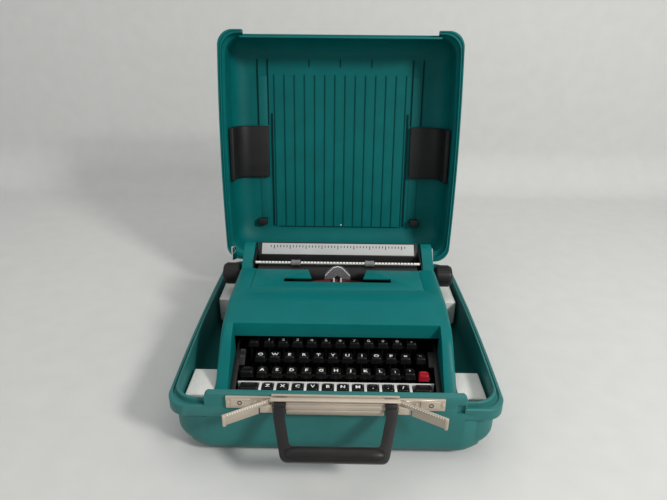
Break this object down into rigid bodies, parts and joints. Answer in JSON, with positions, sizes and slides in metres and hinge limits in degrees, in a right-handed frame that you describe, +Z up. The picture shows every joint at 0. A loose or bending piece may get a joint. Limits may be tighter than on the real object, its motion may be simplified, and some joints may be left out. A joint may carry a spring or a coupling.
{
  "type": "portable typewriter in case",
  "caption": "Portable manual typewriter in a hinged moulded carrying case with lid open, sliding carriage, keyboard rows, latches and folding handle.",
  "frame": {"origin": "centre of the case's flat underside", "axes": "+X to the typist's right, +Y to the back towards the lid hinge, +Z up"},
  "size_m": [0.4, 0.5759, 0.4611],
  "materials": {
    "case_plastic": "moulded teal shell, fine leather grain outside",
    "body_plastic": "smooth teal, satin",
    "black_plastic": "moulded black",
    "key_plastic": "glossy black caps with white legends",
    "red_plastic": "red cap",
    "nickel": "dull nickel plate",
    "chrome": "bright plate",
    "steel": "dark zinc-plated steel",
    "zinc": "light zinc plate",
    "platen_rubber": "ground black rubber",
    "scale_white": "white printed strip",
    "foam": "white expanded foam",
    "ribbon_fabric": "red and black inked ribbon",
    "clear_plastic": "clear moulded line guide",
    "foot_rubber": "black rubber pads"
  },
  "bodies": {
    "case": {"base_shell": "case_plastic", "latch_rail": "nickel", "handle_beam": "nickel", "hinge_pin_left": "steel", "hinge_pin_right": "steel", "foam_front_left": "foam", "foam_front_right": "foam", "foam_rear_left": "foam", "foam_rear_right": "foam", "base_pan": "steel", "body_shell": "body_plastic", "chassis": "steel", "typebar_basket": "steel", "card_holder": "clear_plastic", "ribbon": "ribbon_fabric", "keyboard_panel": "black_plastic", "key_comb": "zinc", "mainspring_drum": "steel", "bell": "chrome"},
    "lid": {"lid_shell": "case_plastic", "lid_pad_left": "foot_rubber", "lid_pad_right": "foot_rubber", "lid_buffer_left": "foot_rubber", "lid_buffer_right": "foot_rubber"},
    "handle": {"handle": "black_plastic"},
    "latch_left": {"latch_left": "nickel"},
    "latch_right": {"latch_right": "nickel"},
    "ribbon_cover": {"ribbon_cover": "body_plastic"},
    "truck": {"bearing_truck": "steel"},
    "carriage": {"carriage_frame": "steel", "carriage_end_left": "body_plastic", "carriage_end_right": "body_plastic", "margin_scale": "scale_white", "paper_table": "black_plastic"},
    "platen": {"platen": "platen_rubber", "platen_knob_left": "black_plastic", "platen_knob_right": "black_plastic"},
    "bail": {"paper_bail": "chrome"},
    "bail_roller_left": {"bail_roller_left": "scale_white"},
    "bail_roller_right": {"bail_roller_right": "scale_white"},
    "return_lever": {"return_lever": "chrome"},
    "carriage_release": {"carriage_release": "chrome"},
    "key_row_number": {"key_row_number": "key_plastic", "key_row_number_levers": "steel"},
    "key_row_upper": {"key_row_upper": "key_plastic", "key_row_upper_levers": "steel"},
    "key_row_home": {"key_row_home": "key_plastic", "key_row_home_levers": "steel"},
    "key_row_bottom": {"key_row_bottom": "key_plastic", "key_row_bottom_levers": "steel"},
    "space_bar": {"space_bar": "key_plastic"},
    "shift_keys": {"shift_keys": "key_plastic"},
    "shift_lock": {"shift_lock": "key_plastic"},
    "tab_key": {"tab_key": "red_plastic"},
    "backspace_key": {"backspace_key": "key_plastic"},
    "margin_release": {"margin_release": "key_plastic"},
    "typebar": {"typebar": "steel"},
    "ribbon_vibrator": {"ribbon_vibrator": "zinc"},
    "ribbon_spool_left": {"ribbon_spool_left": "steel"},
    "ribbon_spool_right": {"ribbon_spool_right": "steel"}
  },
  "joints": [
    {"name": "lid_hinge", "type": "hinge", "parent": "case", "child": "lid", "pos_m": [0, 0.1944, 0.078], "axis": [-1, 0, 0], "range_deg": [-96.8, 0]},
    {"name": "handle_swing", "type": "hinge", "parent": "case", "child": "handle", "pos_m": [0, -0.202, 0.09], "axis": [-1, 0, 0], "range_deg": [-50, 60]},
    {"name": "latch_left_swing", "type": "hinge", "parent": "case", "child": "latch_left", "pos_m": [-0.071, -0.198, 0.088], "axis": [0, 0, 1], "range_deg": [-30, 60]},
    {"name": "latch_right_swing", "type": "hinge", "parent": "case", "child": "latch_right", "pos_m": [0.071, -0.198, 0.088], "axis": [0, 0, -1], "range_deg": [-30, 60]},
    {"name": "ribbon_cover_hinge", "type": "hinge", "parent": "case", "child": "ribbon_cover", "pos_m": [0, -0.0036, 0.13], "axis": [1, 0, 0], "range_deg": [0, 100]},
    {"name": "truck_slide", "type": "slide", "parent": "case", "child": "truck", "axis": [1, 0, 0], "range_m": [-0.0575, 0.0575]},
    {"name": "carriage_slide", "type": "slide", "parent": "truck", "child": "carriage", "axis": [-1, 0, 0], "range_m": [-0.0575, 0.0575]},
    {"name": "platen_turn", "type": "hinge", "parent": "carriage", "child": "platen", "pos_m": [0, 0.084, 0.109], "axis": [1, 0, 0], "continuous": true},
    {"name": "bail_lift", "type": "hinge", "parent": "carriage", "child": "bail", "pos_m": [0, 0.112, 0.138], "axis": [-1, 0, 0], "range_deg": [0, 60]},
    {"name": "bail_roller_left_slide", "type": "slide", "parent": "bail", "child": "bail_roller_left", "axis": [1, 0, 0], "range_m": [-0.02, 0.02]},
    {"name": "bail_roller_right_slide", "type": "slide", "parent": "bail", "child": "bail_roller_right", "axis": [1, 0, 0], "range_m": [-0.02, 0.02]},
    {"name": "return_lever_swing", "type": "hinge", "parent": "carriage", "child": "return_lever", "pos_m": [-0.141, 0.118, 0.149], "axis": [0, 0, 1], "range_deg": [0, 20], "stiffness_Nm_per_rad": 0.2, "springref_deg": -17.19},
    {"name": "carriage_release_swing", "type": "hinge", "parent": "carriage", "child": "carriage_release", "pos_m": [0.1504, 0.098, 0.121], "axis": [1, 0, 0], "range_deg": [0, 15], "stiffness_Nm_per_rad": 0.2, "springref_deg": -17.19},
    {"name": "key_row_number_press", "type": "hinge", "parent": "case", "child": "key_row_number", "pos_m": [0, 0.066, 0.037], "axis": [1, 0, 0], "range_deg": [0, 4.2], "stiffness_Nm_per_rad": 1.5, "springref_deg": -20.05},
    {"name": "key_row_upper_press", "type": "hinge", "parent": "case", "child": "key_row_upper", "pos_m": [0, 0.066, 0.037], "axis": [1, 0, 0], "range_deg": [0, 4.2], "stiffness_Nm_per_rad": 1.5, "springref_deg": -20.05},
    {"name": "key_row_home_press", "type": "hinge", "parent": "case", "child": "key_row_home", "pos_m": [0, 0.066, 0.037], "axis": [1, 0, 0], "range_deg": [0, 4.2], "stiffness_Nm_per_rad": 1.5, "springref_deg": -20.05},
    {"name": "key_row_bottom_press", "type": "hinge", "parent": "case", "child": "key_row_bottom", "pos_m": [0, 0.066, 0.037], "axis": [1, 0, 0], "range_deg": [0, 4.2], "stiffness_Nm_per_rad": 1.5, "springref_deg": -20.05},
    {"name": "space_bar_press", "type": "hinge", "parent": "case", "child": "space_bar", "pos_m": [0, 0.066, 0.037], "axis": [1, 0, 0], "range_deg": [0, 2.4], "stiffness_Nm_per_rad": 1, "springref_deg": -17.19},
    {"name": "shift_press", "type": "hinge", "parent": "case", "child": "shift_keys", "pos_m": [0, 0.071, 0.037], "axis": [1, 0, 0], "range_deg": [0, 3], "stiffness_Nm_per_rad": 1.5, "springref_deg": -17.19},
    {"name": "shift_lock_press", "type": "hinge", "parent": "case", "child": "shift_lock", "pos_m": [0, 0.066, 0.037], "axis": [1, 0, 0], "range_deg": [0, 3], "stiffness_Nm_per_rad": 0.5, "springref_deg": -17.19},
    {"name": "tab_press", "type": "hinge", "parent": "case", "child": "tab_key", "pos_m": [0, 0.066, 0.037], "axis": [1, 0, 0], "range_deg": [0, 3.4], "stiffness_Nm_per_rad": 0.5, "springref_deg": -17.19},
    {"name": "backspace_press", "type": "hinge", "parent": "case", "child": "backspace_key", "pos_m": [0, 0.066, 0.037], "axis": [1, 0, 0], "range_deg": [0, 4], "stiffness_Nm_per_rad": 0.5, "springref_deg": -17.19},
    {"name": "margin_release_press", "type": "hinge", "parent": "case", "child": "margin_release", "pos_m": [0, 0.066, 0.037], "axis": [1, 0, 0], "range_deg": [0, 3], "stiffness_Nm_per_rad": 0.5, "springref_deg": -17.19},
    {"name": "typebar_swing", "type": "hinge", "parent": "case", "child": "typebar", "pos_m": [0, 0.04, 0.055], "axis": [-1, 0, 0], "range_deg": [0, 87.8]},
    {"name": "vibrator_lift", "type": "slide", "parent": "case", "child": "ribbon_vibrator", "axis": [0, 0, 1], "range_m": [0, 0.0081]},
    {"name": "spool_left_turn", "type": "hinge", "parent": "case", "child": "ribbon_spool_left", "pos_m": [-0.084, 0.012, 0.105], "axis": [0, 0, 1], "continuous": true},
    {"name": "spool_right_turn", "type": "hinge", "parent": "case", "child": "ribbon_spool_right", "pos_m": [0.084, 0.012, 0.105], "axis": [0, 0, 1], "continuous": true}
  ],
  "couplings": [
    {"joint": "typebar_swing", "follows": "key_row_home_press", "ratio": 20.833},
    {"joint": "vibrator_lift", "follows": "key_row_home_press", "m_per_rad": 0.10913},
    {"joint": "spool_right_turn", "follows": "spool_left_turn", "ratio": 1}
  ]
}
